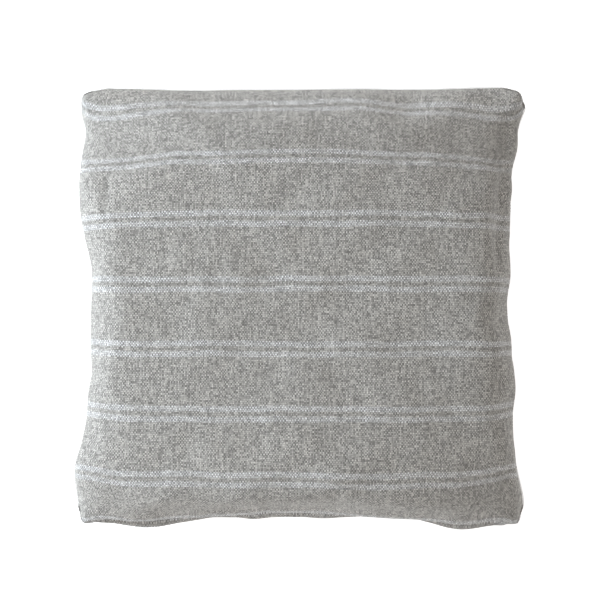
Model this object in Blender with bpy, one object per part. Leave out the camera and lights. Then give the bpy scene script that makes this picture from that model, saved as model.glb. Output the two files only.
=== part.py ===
"""Square throw pillow: a two-panel linen cover with a zip in one edge, round a stuffed insert.

The pillow lies flat on its back. X runs along the zip, +Y points from the zip to the far edge
and Z is the thickness. The origin is on the surface it lies on, under the middle of its box.
"""

import math
from dataclasses import dataclass

import bmesh
import bpy
from mathutils import Vector

MM = 0.001

# The stuffed cover, over its corners
WIDTH = 475 * MM
DEPTH = 470 * MM
THICKNESS = 165 * MM
SEAM_HEIGHT = 70 * MM  # the seam lies below half height, so the front bulges over it
PULL_IN_SIDE = 17 * MM  # how far the middle of each side is drawn in from its corners
PULL_IN_TOP = 4 * MM
PULL_IN_ZIP = 16 * MM
SEAM_RECESS = 10 * MM  # the seam behind the widest part of the front panel
ZIP_RECESS = 12 * MM
BACK_BULGE = 0.5  # the back panel's bulge over the seam, as a share of the front's
PLUMPNESS = 0.75  # under 1 fills the edges out
FLAT_FROM = 0.9  # the back is flat on the floor from this share of its full depth
FLAT_EASE = 1.8  # over 1 rounds the back into its flat
CORNER_EASE = 6  # higher keeps the seam recessed for more of each side
SLIT_EASE = 8  # higher opens the zip's slit in less of the cloth beside it

# Cloth, thread and stuffing
PANEL_THICK = 1.2 * MM
ALLOWANCE = 8 * MM  # the seam allowance turned inside
CASING_THICK = 0.6 * MM
CASING_ALLOWANCE = 5 * MM
INSERT_INSET = 14 * MM  # the insert's seam inside the cover's seam
INSERT_ZIP_ROOM = 14 * MM  # more of it behind the zip
INSERT_SLACK = 1.5 * MM
INSET_FROM = 0.55  # where the insert starts to draw in, as a share of the way to the seam
INSET_EASE = 1.5  # over 1 starts it gently
INSERT_SEAM_SHORT = 3  # lattice points the insert's thread stops short of the zip's edge
FILL_SLACK = 2.5 * MM
FILL_INSET_SLACK = 18 * MM
THREAD_RADIUS = 0.4 * MM
THREAD_STAND_OFF = 1 * MM  # the thread's centre line in front of the cloth
STITCH_STAND_OFF = 1.4 * MM  # more where it runs over the bulge
STITCH_RISE = 0.25  # the zip's stitching, as a share of the first row of facets above the zip
SEAM_GAP = 0.5 * MM  # between two cloths that are sewn together
LABEL_THICK = 0.5 * MM
LABEL_LENGTH = 40 * MM
LABEL_HEIGHT = 8 * MM
LABEL_GAP = 0.4 * MM

# The zip, measured outward from its tapes and up from the seam plane
ZIP_END_MARGIN = 42.5 * MM  # from the end of the tapes to the cover's corner
STRAIGHT_SPARE = 2 * MM  # how far the zip's edge stays straight past its tapes
SLIT = 3 * MM  # between the two folds of cloth that hide the zip
TAPE_THICK = 0.5 * MM
TAPE_REACH = 5.5 * MM
COIL_THICK = 1.5 * MM
COIL_REACH = 2.5 * MM
COIL_SPINE = 1.2 * MM
COIL_PITCH = 4 * MM
COIL_TOOTH = 2 * MM
NECK_THICK = 0.8 * MM
RUNNING_GAP = 0.3 * MM
FOLD_GAP = 0.4 * MM
STOP_LENGTH = 3 * MM
TAPE_TAIL = 20 * MM  # tape beyond the stops, room for the pull at the open end

# The slider and its pull
SLIDER_LENGTH = 11 * MM
SLIDER_PLATE = 0.8 * MM
SLIDER_LIP = 0.7 * MM
NECK_LENGTH = 4 * MM
BRIDGE_LENGTH = 7 * MM
BRIDGE_BAR = 1 * MM
BRIDGE_THICK = 1.4 * MM
BRIDGE_STAND_OFF = 2.5 * MM  # from the cover's folds to the pull's axis
PULL_LENGTH = 25 * MM
PULL_WIDTH = 6 * MM
PULL_THICK = 1 * MM
PULL_BAR = 1.2 * MM
PULL_PLAY = 0.4 * MM

# Steps in the curved surfaces
CELLS = 9  # lattice cells from the middle of a panel to its edge
THREAD_SIDES = 6
ROUND_STEPS = 8
SLOPE_STEP = 0.01  # share of a half side over which a surface's slope is taken
WELD = 0.01 * MM

# Worked out from the sizes above
HALF_X = WIDTH / 2
HALF_Y = DEPTH / 2
TAPE_HALF = HALF_X - ZIP_END_MARGIN
ZIP_SHARE = (TAPE_HALF + STRAIGHT_SPARE) / HALF_X  # the straight part of the zip's edge
COIL_LOW = NECK_THICK / 2 + RUNNING_GAP
COIL_BACK = TAPE_THICK / 2 + RUNNING_GAP
COIL_FRONT = COIL_BACK + COIL_THICK
OUTER_PLATE = COIL_FRONT + RUNNING_GAP
INNER_PLATE = -TAPE_THICK / 2 - RUNNING_GAP - SLIDER_PLATE
FOLD_FACE = OUTER_PLATE + SLIDER_PLATE + FOLD_GAP + PANEL_THICK
ZIP_LINE = HALF_Y - PULL_IN_ZIP - ZIP_RECESS
TAPE_Y = -(ZIP_LINE - FOLD_FACE)
PULL_AXIS = FOLD_FACE + BRIDGE_STAND_OFF
COIL_HALF = TAPE_HALF - TAPE_TAIL - STOP_LENGTH - RUNNING_GAP
SLIDER_X = -COIL_HALF + SLIDER_LENGTH / 2
FILL_INSET = INSERT_INSET + CASING_ALLOWANCE + FILL_INSET_SLACK

LINEN = (0.36, 0.35, 0.33)
LINEN_THREAD = (0.50, 0.49, 0.47)
TAPE_GREY = (0.42, 0.41, 0.39)
COIL_GREY = (0.48, 0.47, 0.45)
NICKEL = (0.55, 0.54, 0.52)
CASING_WHITE = (0.82, 0.81, 0.78)
FILL_WHITE = (0.88, 0.87, 0.84)
LABEL_WHITE = (0.86, 0.86, 0.84)


@dataclass(frozen=True)
class Half:
    """The front or back surface of a stuffed shape, from its crown to its seam."""

    up: int  # +1 for the front, -1 for the back
    rim: float  # the rim's distance from the seam plane
    slit: float = 0.0  # added to the rim along the zip
    skin: float = 0.0  # depth under the cover's surface
    inset: float = 0.0  # the seam's distance inside the cover's seam


def clear_scene():
    for thing in list(bpy.data.objects):
        bpy.data.objects.remove(thing, do_unlink=True)


def material(name, colour, roughness, metallic=0.0):
    made = bpy.data.materials.new(name)
    made.use_nodes = True
    shader = made.node_tree.nodes["Principled BSDF"]
    shader.inputs["Base Color"].default_value = (*colour, 1.0)
    shader.inputs["Roughness"].default_value = roughness
    shader.inputs["Metallic"].default_value = metallic
    return made


def place(name, shape, look, smooth=False):
    """Turn a bmesh into a scene object, with its faces pointing out."""
    bmesh.ops.recalc_face_normals(shape, faces=shape.faces)
    if shape.calc_volume(signed=True) < 0:
        bmesh.ops.reverse_faces(shape, faces=shape.faces)
    mesh = bpy.data.meshes.new(name)
    shape.to_mesh(mesh)
    shape.free()
    if smooth:
        mesh.shade_smooth()
    mesh.materials.append(look)
    thing = bpy.data.objects.new(name, mesh)
    bpy.context.collection.objects.link(thing)
    return thing


def ease(share):
    held = min(max(share, 0.0), 1.0)
    return held * held * (3 - 2 * held)


# ---- the pillow's own lines -------------------------------------------------


def along_corner(side, along):
    """1 along a side, falling to 0 where it reaches the corners, so the seam meets them."""
    if side == "zip":
        return 1 - ease((abs(along) - ZIP_SHARE) / (1 - ZIP_SHARE))
    return 1 - along**CORNER_EASE


def edge_line(side, along):
    """How far the front panel reaches at a place along a side, from -1 to 1."""
    half, pull_in = {
        "side": (HALF_X, PULL_IN_SIDE),
        "top": (HALF_Y, PULL_IN_TOP),
        "zip": (HALF_Y, PULL_IN_ZIP),
    }[side]
    return half - pull_in * (1 - along * along)


def seam_line(side, along):
    edge = edge_line(side, along)
    if side == "zip":
        return edge - (edge - ZIP_LINE) * along_corner(side, along)
    return edge - SEAM_RECESS * along_corner(side, along)


def profile(up, side, along, share):
    """Distance from the middle, and fullness from 1 at the crown to 0 at the seam."""
    seam = seam_line(side, along)
    bulge = edge_line(side, along) - seam
    reach = seam + bulge * (1 if up > 0 else BACK_BULGE)
    last = math.pi - math.asin(min(seam / reach, 1.0))
    turn = last * share
    fullness = (math.cos(turn) - math.cos(last)) / (1 - math.cos(last))
    return reach * math.sin(turn), max(fullness, 0.0)


def cover_point(half, across, up_page):
    """A point of the cover's surface, for two shares from -1 to 1."""
    along_x = math.sin(across * math.pi / 2)
    along_y = math.sin(up_page * math.pi / 2)
    x, full_x = profile(half.up, "side", along_y, across)
    y, full_y = profile(half.up, "top" if up_page > 0 else "zip", along_x, up_page)
    fullness = (full_x * full_y) ** PLUMPNESS
    rim = half.rim + half.slit * along_corner("zip", along_x) * max(-along_y, 0.0) ** SLIT_EASE
    if half.up > 0:
        depth = THICKNESS - SEAM_HEIGHT
    else:
        depth = SEAM_HEIGHT
        fullness = 1 - (1 - min(fullness / FLAT_FROM, 1.0)) ** FLAT_EASE
    return Vector((x, y, SEAM_HEIGHT + half.up * (rim + (depth - rim) * fullness)))


def shrunk(point, amount_x, amount_y, rise=0.0):
    """A point moved in toward the middle in plan, keeping the corners square."""
    x = point.x * (1 - amount_x / HALF_X)
    y = point.y * (1 - amount_y / HALF_Y)
    return Vector((x, y, point.z + rise))


def normal(point_at, half, across, up_page):
    """The outward direction of a surface, from four points close by."""
    low_x, high_x = max(across - SLOPE_STEP, -1), min(across + SLOPE_STEP, 1)
    low_y, high_y = max(up_page - SLOPE_STEP, -1), min(up_page + SLOPE_STEP, 1)
    run_x = point_at(half, high_x, up_page) - point_at(half, low_x, up_page)
    run_y = point_at(half, across, high_y) - point_at(half, across, low_y)
    return run_x.cross(run_y).normalized() * half.up


def surface(half, across, up_page):
    """A point of the cover's surface, or of one nested in it with its seam drawn in."""
    point = cover_point(half, across, up_page)
    if not half.inset:
        return point
    outness = max(abs(across), abs(up_page))
    drawn = max((outness - INSET_FROM) / (1 - INSET_FROM), 0.0) ** INSET_EASE
    zip_room = INSERT_ZIP_ROOM * max(-math.sin(up_page * math.pi / 2), 0.0) ** 2
    in_x = (half.inset + zip_room / 2) * drawn
    in_y = (half.inset + zip_room) * drawn
    inward = normal(cover_point, half, across, up_page) * half.skin * (1 - drawn)
    return shrunk(point, in_x, in_y) - inward


def shares():
    """Lattice places from -1 to 1, with one on each side moved to where the straight part ends."""
    straight_end = math.asin(ZIP_SHARE) * 2 / math.pi
    nearest = round(straight_end * CELLS)
    half = [step / CELLS for step in range(CELLS + 1)]
    half[nearest] = straight_end
    return [-share for share in half[:0:-1]] + half


def lattice(half, thick=0.0):
    """Rows of points on a surface, or that far beneath it."""
    return [
        [surface(half, a, b) - normal(surface, half, a, b) * thick for b in shares()]
        for a in shares()
    ]


def border():
    """Indices round a lattice's edge: along the zip, up, back along the top and down."""
    last = 2 * CELLS
    zip_side = [(i, 0) for i in range(last)]
    right = [(last, j) for j in range(last)]
    top = [(last - i, last) for i in range(last)]
    left = [(0, last - j) for j in range(last)]
    return zip_side + right + top + left


# ---- building meshes --------------------------------------------------------


def add_grid(shape, rows):
    """Points and faces of a lattice; gives its points back by row."""
    made = [[shape.verts.new(point) for point in row] for row in rows]
    for low, high in zip(made, made[1:]):
        for j in range(len(low) - 1):
            shape.faces.new((low[j], high[j], high[j + 1], low[j + 1]))
    return made


def bridge(shape, first, second):
    """Faces between two closed loops of points."""
    count = len(first)
    for k in range(count):
        after = (k + 1) % count
        shape.faces.new((first[k], first[after], second[after], second[k]))


def add_cloth(name, half, thick, allowance, look):
    """A bowl of cloth with its seam allowance turned in."""
    shape = bmesh.new()
    outside = add_grid(shape, lattice(half))
    inside_points = lattice(half, thick)
    outer_edge = [outside[i][j] for i, j in border()]
    turned_in, turned_up = [], []
    for (i, j), vertex in zip(border(), outer_edge):
        width = allowance
        if half.slit and j == 0:
            along = math.sin(shares()[i] * math.pi / 2)
            width -= (allowance - thick / 2) * along_corner("zip", along)
        low = shrunk(vertex.co, width, width)
        turned_in.append(shape.verts.new(low))
        turned_up.append(shape.verts.new(low + Vector((0, 0, half.up * min(thick, width)))))
        inside_points[i][j] = shrunk(vertex.co, thick, thick, half.up * thick)
    inside = add_grid(shape, inside_points)
    inner_edge = [inside[i][j] for i, j in border()]
    bridge(shape, outer_edge, turned_in)
    bridge(shape, turned_in, turned_up)
    bridge(shape, turned_up, inner_edge)
    return place(name, shape, look, smooth=True)


def add_fill(name, front, back, look):
    """The stuffing: one solid between a front and a back surface."""
    shape = bmesh.new()
    add_grid(shape, lattice(front))
    add_grid(shape, lattice(back))
    bmesh.ops.remove_doubles(shape, verts=shape.verts, dist=WELD)
    return place(name, shape, look, smooth=True)


def add_tube(name, path, radius, look):
    """A round thread along a path of points."""
    shape = bmesh.new()
    rings = []
    for k, point in enumerate(path):
        heading = (path[min(k + 1, len(path) - 1)] - path[max(k - 1, 0)]).normalized()
        level = heading.cross(Vector((0, 0, 1))).normalized()
        upward = level.cross(heading)
        ring = []
        for n in range(THREAD_SIDES):
            angle = 2 * math.pi * n / THREAD_SIDES
            spoke = math.cos(angle) * level + math.sin(angle) * upward
            ring.append(shape.verts.new(point + radius * spoke))
        rings.append(ring)
    for ring, following in zip(rings, rings[1:]):
        bridge(shape, ring, following)
    shape.faces.new(rings[0])
    shape.faces.new(rings[-1])
    return place(name, shape, look, smooth=True)


def add_prism(name, outline, near, far, look, plane="xz"):
    """An outline extruded: drawn in x and z and run outward, or drawn in x and outward and run in z."""
    shape = bmesh.new()
    if plane == "xz":
        corners = [Vector((x, -near, z)) for x, z in outline]
        run = Vector((0, -(far - near), 0))
    else:
        corners = [Vector((x, -outward, near)) for x, outward in outline]
        run = Vector((0, 0, far - near))
    face = shape.faces.new([shape.verts.new(corner) for corner in corners])
    made = bmesh.ops.extrude_face_region(shape, geom=[face])["geom"]
    bmesh.ops.translate(shape, vec=run, verts=[v for v in made if isinstance(v, bmesh.types.BMVert)])
    return place(name, shape, look)


def rectangle(low_x, high_x, low_z, high_z):
    return [(low_x, low_z), (high_x, low_z), (high_x, high_z), (low_x, high_z)]


def arc(centre, radius, start, end):
    """Points of a circular arc between two angles in degrees."""
    points = []
    for step in range(ROUND_STEPS + 1):
        angle = math.radians(start + (end - start) * step / ROUND_STEPS)
        points.append((centre[0] + radius * math.cos(angle), centre[1] + radius * math.sin(angle)))
    return points


def combine(target, other, operation):
    """Join a hidden shape to an object, or cut it out."""
    other.hide_render = True
    other.display_type = "WIRE"
    step = target.modifiers.new(f"{operation.title()} {other.name}", "BOOLEAN")
    step.operation = operation
    step.solver = "EXACT"
    step.object = other


# ---- the pieces -------------------------------------------------------------


def cover_half(up):
    return Half(up=up, rim=SEAM_GAP / 2, slit=(SLIT - SEAM_GAP) / 2)


def casing_half(up):
    return Half(up=up, rim=SEAM_GAP / 2, skin=PANEL_THICK + INSERT_SLACK, inset=INSERT_INSET)


def fill_half(up):
    skin = PANEL_THICK + INSERT_SLACK + CASING_THICK + FILL_SLACK
    return Half(up=up, rim=0.0, skin=skin, inset=FILL_INSET)


def make_cover():
    linen = material("linen", LINEN, 0.95)
    add_cloth("front_panel", cover_half(1), PANEL_THICK, ALLOWANCE, linen)
    add_cloth("back_panel", cover_half(-1), PANEL_THICK, ALLOWANCE, linen.copy())


def seam_path(half, short=0):
    """Points just outside a seam, round three edges from the zip's, or that many points short of it."""
    points = [surface(half, shares()[i], shares()[j]) for i, j in border()]
    outside = [shrunk(point, -THREAD_STAND_OFF, -THREAD_STAND_OFF) for point in points]
    round_three = outside[2 * CELLS :] + outside[:1]
    return round_three[short : len(round_three) - short]


def make_cover_seam():
    look = material("cover_thread", LINEN_THREAD, 0.8)
    add_tube("cover_seam_thread", seam_path(Half(up=1, rim=0.0)), THREAD_RADIUS, look)


def make_zip_stitching():
    """Two lines of stitches that hold the tapes, one on each side of the slit."""
    for name, up in (("zipper_stitch_front", 1), ("zipper_stitch_back", -1)):
        half = cover_half(up)
        path = []
        for across in shares():
            if abs(math.sin(across * math.pi / 2)) < ZIP_SHARE:
                edge = surface(half, across, shares()[0])
                rise = surface(half, across, shares()[1]) - edge
                outward = Vector((up, 0, 0)).cross(rise).normalized()
                path.append(edge + rise * STITCH_RISE + outward * STITCH_STAND_OFF)
        add_tube(name, path, THREAD_RADIUS, material(name, LINEN_THREAD, 0.8))


def make_insert():
    """The ticking case, its seam and the stuffing in it."""
    casing = material("casing", CASING_WHITE, 0.9)
    add_cloth("insert_case_front", casing_half(1), CASING_THICK, CASING_ALLOWANCE, casing)
    add_cloth("insert_case_back", casing_half(-1), CASING_THICK, CASING_ALLOWANCE, casing.copy())
    add_fill("insert_fill", fill_half(1), fill_half(-1), material("fill", FILL_WHITE, 1.0))
    seam = Half(up=1, rim=0.0, skin=PANEL_THICK + INSERT_SLACK, inset=INSERT_INSET)
    path = seam_path(seam, short=INSERT_SEAM_SHORT)
    thread = material("insert_thread", CASING_WHITE, 0.8)
    add_tube("insert_seam_thread", path, THREAD_RADIUS, thread)


def make_label():
    """A blank care label, sewn to the seam allowance inside the left edge."""
    right = -seam_line("side", 0.0) * (1 - ALLOWANCE / HALF_X) + LABEL_GAP + LABEL_THICK
    label = add_prism(
        "care_label",
        rectangle(right - LABEL_THICK, right, -LABEL_HEIGHT / 2, LABEL_HEIGHT / 2),
        -LABEL_LENGTH / 2,
        LABEL_LENGTH / 2,
        material("label", LABEL_WHITE, 0.7),
    )
    label.location = (0, 0, SEAM_HEIGHT)


def on_zip(thing):
    thing.location = (0, TAPE_Y, SEAM_HEIGHT)
    return thing


def make_tapes():
    for name, up in (("zipper_tape_front", 1), ("zipper_tape_back", -1)):
        outline = rectangle(-TAPE_HALF, TAPE_HALF, up * COIL_LOW, up * (COIL_LOW + TAPE_REACH))
        look = material(name, TAPE_GREY, 0.9)
        on_zip(add_prism(name, outline, -TAPE_THICK / 2, TAPE_THICK / 2, look))


def coil_outline(up, first):
    """A comb: a spine along the tape with a tooth at every pitch."""
    tip, root = up * COIL_LOW, up * (COIL_LOW + COIL_REACH - COIL_SPINE)
    back = up * (COIL_LOW + COIL_REACH)
    outline = [(-COIL_HALF, back), (-COIL_HALF, root)]
    x = -COIL_HALF + first
    while x + COIL_TOOTH < COIL_HALF:
        outline += [(x, root), (x, tip), (x + COIL_TOOTH, tip), (x + COIL_TOOTH, root)]
        x += COIL_PITCH
    return outline + [(COIL_HALF, root), (COIL_HALF, back)]


def make_coils():
    """The two rows of teeth, half a pitch apart."""
    for name, up, first in (
        ("zipper_coil_front", 1, COIL_PITCH / 4),
        ("zipper_coil_back", -1, COIL_PITCH * 3 / 4),
    ):
        look = material(name, COIL_GREY, 0.45)
        on_zip(add_prism(name, coil_outline(up, first), COIL_BACK, COIL_FRONT, look))


def make_stops():
    """A stop on each row where the zip closes, and one across both rows where it opens."""
    near = COIL_HALF + RUNNING_GAP
    far = near + STOP_LENGTH
    top = COIL_LOW + COIL_REACH
    face = OUTER_PLATE + SLIDER_PLATE
    for name, low_x, high_x, low_z, high_z in (
        ("zipper_top_stop_front", -far, -near, COIL_LOW, top),
        ("zipper_top_stop_back", -far, -near, -top, -COIL_LOW),
        ("zipper_bottom_stop", near, far, -top, top),
    ):
        outline = rectangle(low_x, high_x, low_z, high_z)
        on_zip(add_prism(name, outline, COIL_BACK, face, material(name, NICKEL, 0.35, 1.0)))


def make_slider():
    """Two plates either side of the coils, joined by a neck, with a bridge for the pull."""
    nickel = material("slider", NICKEL, 0.3, 1.0)
    wide = COIL_LOW + COIL_REACH + RUNNING_GAP + SLIDER_LIP
    half = SLIDER_LENGTH / 2
    corner = SLIDER_LIP
    plate = (
        arc((half - corner, wide - corner), corner, 0, 90)
        + arc((corner - half, wide - corner), corner, 90, 180)
        + arc((corner - half, corner - wide), corner, 180, 270)
        + arc((half - corner, corner - wide), corner, 270, 360)
    )
    slider = add_prism("zipper_slider", plate, OUTER_PLATE, OUTER_PLATE + SLIDER_PLATE, nickel)
    overlap = SLIDER_PLATE / 2
    inner = add_prism("slider_inner_plate", plate, INNER_PLATE, INNER_PLATE + SLIDER_PLATE, nickel)
    neck_outline = rectangle(-NECK_LENGTH / 2, NECK_LENGTH / 2, -NECK_THICK / 2, NECK_THICK / 2)
    neck = add_prism("slider_neck", neck_outline, INNER_PLATE + overlap, OUTER_PLATE + overlap, nickel)
    pieces = [inner, neck]
    for up in (1, -1):
        low, high = sorted((up * (wide - SLIDER_LIP), up * wide))
        outline = rectangle(corner - half, half - corner, low, high)
        pieces.append(add_prism("slider_lip", outline, COIL_BACK, OUTER_PLATE + overlap, nickel))
    outer_x = BRIDGE_LENGTH / 2
    inner_x = outer_x - BRIDGE_BAR
    window_top = PULL_AXIS + PULL_BAR / 2 + 2 * PULL_PLAY
    root = OUTER_PLATE + overlap
    bridge_outline = [
        (-outer_x, root),
        (-outer_x, window_top + BRIDGE_BAR),
        (outer_x, window_top + BRIDGE_BAR),
        (outer_x, root),
        (inner_x, root),
        (inner_x, window_top),
        (-inner_x, window_top),
        (-inner_x, root),
    ]
    arch = add_prism("slider_bridge", bridge_outline, -BRIDGE_THICK / 2, BRIDGE_THICK / 2, nickel, "xo")
    for piece in [*pieces, arch]:
        combine(slider, piece, "UNION")
        piece.parent = slider
    slider.location = (SLIDER_X, TAPE_Y, SEAM_HEIGHT)
    return slider


def make_pull(slider):
    """The tab that hangs on the slider's bridge, its origin on the axis it swings about."""
    nickel = material("pull", NICKEL, 0.35, 1.0)
    half = PULL_WIDTH / 2
    bar = PULL_BAR / 2
    tip = PULL_LENGTH - bar - half
    outline = [(-bar, half), (-bar, -half), (tip, -half)] + arc((tip, 0), half, -90, 90)[1:]
    pull = add_prism("pull_tab", outline, -PULL_THICK / 2, PULL_THICK / 2, nickel)
    window_half = BRIDGE_THICK / 2 + PULL_PLAY
    window_top = bar + 2 * PULL_PLAY + BRIDGE_BAR
    window_end = math.hypot(BRIDGE_LENGTH / 2, window_top) + PULL_PLAY
    window = add_prism(
        "pull_window",
        rectangle(bar, window_end, -window_half, window_half),
        -PULL_THICK,
        PULL_THICK,
        nickel,
    )
    combine(pull, window, "DIFFERENCE")
    window.parent = pull
    pull.parent = slider
    pull.location = (0, -PULL_AXIS, 0)


def main():
    clear_scene()
    make_cover()
    make_cover_seam()
    make_zip_stitching()
    make_insert()
    make_label()
    make_tapes()
    make_coils()
    make_stops()
    make_pull(make_slider())


main()
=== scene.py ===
"""Square linen throw pillow: a striped, zipped cover round a stuffed insert.

The cover is cut flat, sewn and blown up by a cloth simulation, then eased to the frame's size.
"""

import math

import bmesh
import bpy
import numpy as np
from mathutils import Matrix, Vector


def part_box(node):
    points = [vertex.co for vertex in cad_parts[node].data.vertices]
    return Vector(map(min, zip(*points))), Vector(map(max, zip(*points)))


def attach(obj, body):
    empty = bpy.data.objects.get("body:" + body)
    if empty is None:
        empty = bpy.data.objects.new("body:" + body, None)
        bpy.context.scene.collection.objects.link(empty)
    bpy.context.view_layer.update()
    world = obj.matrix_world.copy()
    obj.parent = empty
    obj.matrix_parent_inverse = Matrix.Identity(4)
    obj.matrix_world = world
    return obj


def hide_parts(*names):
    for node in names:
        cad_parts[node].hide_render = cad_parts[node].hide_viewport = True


bl_info = {
    "name": "Throw Pillow",
    "version": (1, 0, 0),
    "blender": (4, 5, 0),
    "location": "View3D > Sidebar > Pillow",
    "description": "Makes a zipped throw pillow, its insert and its stage, piece by piece",
    "category": "Object",
}

MM = 0.001

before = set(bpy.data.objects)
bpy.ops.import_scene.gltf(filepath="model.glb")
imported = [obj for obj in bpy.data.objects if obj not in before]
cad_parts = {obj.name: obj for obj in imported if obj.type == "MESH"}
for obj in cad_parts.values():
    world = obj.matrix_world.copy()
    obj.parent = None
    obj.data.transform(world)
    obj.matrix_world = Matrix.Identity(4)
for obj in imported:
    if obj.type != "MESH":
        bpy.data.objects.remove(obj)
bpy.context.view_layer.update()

PANEL_LOW, PANEL_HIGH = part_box("front_panel")
TAPE_LOW, TAPE_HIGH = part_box("zipper_tape_front")
SLIDER_LOW, SLIDER_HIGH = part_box("zipper_slider")
PULL_LOW, PULL_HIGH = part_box("pull_tab")
SEAM_Z = (SLIDER_LOW.z + SLIDER_HIGH.z) / 2
TAPE_Y = (TAPE_LOW.y + TAPE_HIGH.y) / 2
TAPE_END = TAPE_HIGH.x
HALF = np.array([PANEL_HIGH.x, PANEL_HIGH.y])
CROWN = PANEL_HIGH.z


class PillowSizes(bpy.types.PropertyGroup):
    """The sizes a user would change."""

    cut: bpy.props.FloatProperty(
        name="Cut", description="Side of each square of linen, seam to seam", default=0.508, unit="LENGTH"
    )
    cells: bpy.props.IntProperty(
        name="Cells", description="Cells along a side of the linen", default=96, min=24
    )
    corner: bpy.props.FloatProperty(
        name="Corner", description="Radius the seam turns each corner with", default=0.034, unit="LENGTH"
    )
    volume: bpy.props.FloatProperty(
        name="Stuffing", description="Room that the insert fills", default=0.021, unit="VOLUME"
    )
    linen: bpy.props.FloatProperty(
        name="Linen", description="Thickness of the linen", default=0.0012, unit="LENGTH"
    )
    allowance: bpy.props.FloatProperty(
        name="Allowance", description="Seam allowance turned in", default=0.008, unit="LENGTH"
    )
    slit: bpy.props.FloatProperty(
        name="Slit", description="Gap between the folds that hide the zip", default=0.0024, unit="LENGTH"
    )
    fold: bpy.props.FloatProperty(
        name="Fold",
        description="From the zip's tapes to the face of the folds",
        default=0.00475,
        unit="LENGTH",
    )
    stitch: bpy.props.FloatProperty(
        name="Stitch", description="Length of one stitch", default=0.0032, unit="LENGTH"
    )
    thread: bpy.props.FloatProperty(
        name="Thread", description="Radius of the sewing thread", default=0.0003, unit="LENGTH"
    )
    warp: bpy.props.FloatProperty(
        name="Warp", description="Distance between upright threads", default=0.0015, unit="LENGTH"
    )
    weft: bpy.props.FloatProperty(
        name="Weft", description="Distance between threads laid across", default=0.0019, unit="LENGTH"
    )
    stripe_pitch: bpy.props.FloatProperty(
        name="Stripes", description="From one pair of stripes to the next", default=0.0665, unit="LENGTH"
    )
    stripe_start: bpy.props.FloatProperty(
        name="First pair", description="A pair's distance above the middle", default=0.025, unit="LENGTH"
    )


class PillowColours(bpy.types.PropertyGroup):
    """The colours a user would change."""

    linen: bpy.props.FloatVectorProperty(
        name="Linen", description="The cloth's ground", default=(0.405, 0.395, 0.378), subtype="COLOR"
    )
    # Dark colour of the hairline thread between a pair's stripes, and of the painted shade in the gaps
    # between threads
    linen_dark_and_gap_shade: bpy.props.FloatVectorProperty(
        name="Linen shade", description="Between the threads", default=(0.15, 0.147, 0.14), subtype="COLOR"
    )
    stripe: bpy.props.FloatVectorProperty(
        name="Stripe", description="The pale stripes", default=(0.67, 0.68, 0.70), subtype="COLOR"
    )
    metal: bpy.props.FloatVectorProperty(
        name="Metal", description="The slider, pull and stops", default=(0.40, 0.385, 0.36), subtype="COLOR"
    )
    tape: bpy.props.FloatVectorProperty(
        name="Tape", description="The zip's tapes", default=(0.40, 0.39, 0.37), subtype="COLOR"
    )
    cotton: bpy.props.FloatVectorProperty(
        name="Cotton", description="The insert's case", default=(0.80, 0.79, 0.75), subtype="COLOR"
    )


# ---- node helpers -------------------------------------------------------------


class Graph:
    """Short names for adding nodes and joining them."""

    def __init__(self, tree):
        self.tree = tree

    def node(self, kind, **settings):
        made = self.tree.nodes.new(kind)
        for key, value in settings.items():
            setattr(made, key, value)
        return made

    def put(self, socket, value):
        if isinstance(value, bpy.types.NodeSocket):
            self.tree.links.new(value, socket)
        elif value is not None:
            if socket.type == "RGBA" and len(value) == 3:
                value = (*value, 1.0)
            socket.default_value = value

    def math(self, operation, a, b=None, c=None, clamp=False):
        made = self.node("ShaderNodeMath", operation=operation, use_clamp=clamp)
        for socket, value in zip(made.inputs, (a, b, c)):
            self.put(socket, value)
        return made.outputs[0]

    def mix(self, share, a, b):
        made = self.node("ShaderNodeMix", data_type="RGBA")
        self.put(made.inputs["Factor"], share)
        self.put(made.inputs[6], a)
        self.put(made.inputs[7], b)
        return made.outputs[2]

    def noise(self, vector, scale, detail=2.0, roughness=0.5, distortion=0.0):
        made = self.node("ShaderNodeTexNoise")
        self.put(made.inputs["Vector"], vector)
        for name, value in (
            ("Scale", scale),
            ("Detail", detail),
            ("Roughness", roughness),
            ("Distortion", distortion),
        ):
            self.put(made.inputs[name], value)
        return made.outputs["Fac"]

    def white(self, vector):
        made = self.node("ShaderNodeTexWhiteNoise", noise_dimensions="3D")
        self.put(made.inputs["Vector"], vector)
        return made.outputs["Value"]

    def join(self, x, y, z=0.0):
        made = self.node("ShaderNodeCombineXYZ")
        for socket, value in zip(made.inputs, (x, y, z)):
            self.put(socket, value)
        return made.outputs[0]

    def split(self, vector):
        made = self.node("ShaderNodeSeparateXYZ")
        self.put(made.inputs[0], vector)
        return made.outputs

    def remap(self, value, low, high, to_low=0.0, to_high=1.0, smooth=False):
        made = self.node("ShaderNodeMapRange")
        if smooth:
            made.interpolation_type = "SMOOTHSTEP"
        for socket, given in zip(made.inputs, (value, low, high, to_low, to_high)):
            self.put(socket, given)
        return made.outputs[0]


def new_group(name, inputs, outputs):
    """An empty node group: its graph, its input sockets by name, and its output node."""
    tree = bpy.data.node_groups.new(name, "ShaderNodeTree")
    for label, kind, value in inputs:
        socket = tree.interface.new_socket(label, in_out="INPUT", socket_type=kind)
        if value is not None:
            socket.default_value = value
    for label, kind in outputs:
        tree.interface.new_socket(label, in_out="OUTPUT", socket_type=kind)
    given = tree.nodes.new("NodeGroupInput").outputs
    result = tree.nodes.new("NodeGroupOutput").inputs
    return Graph(tree), given, result


FLOAT, VECTOR = "NodeSocketFloat", "NodeSocketVector"


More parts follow.
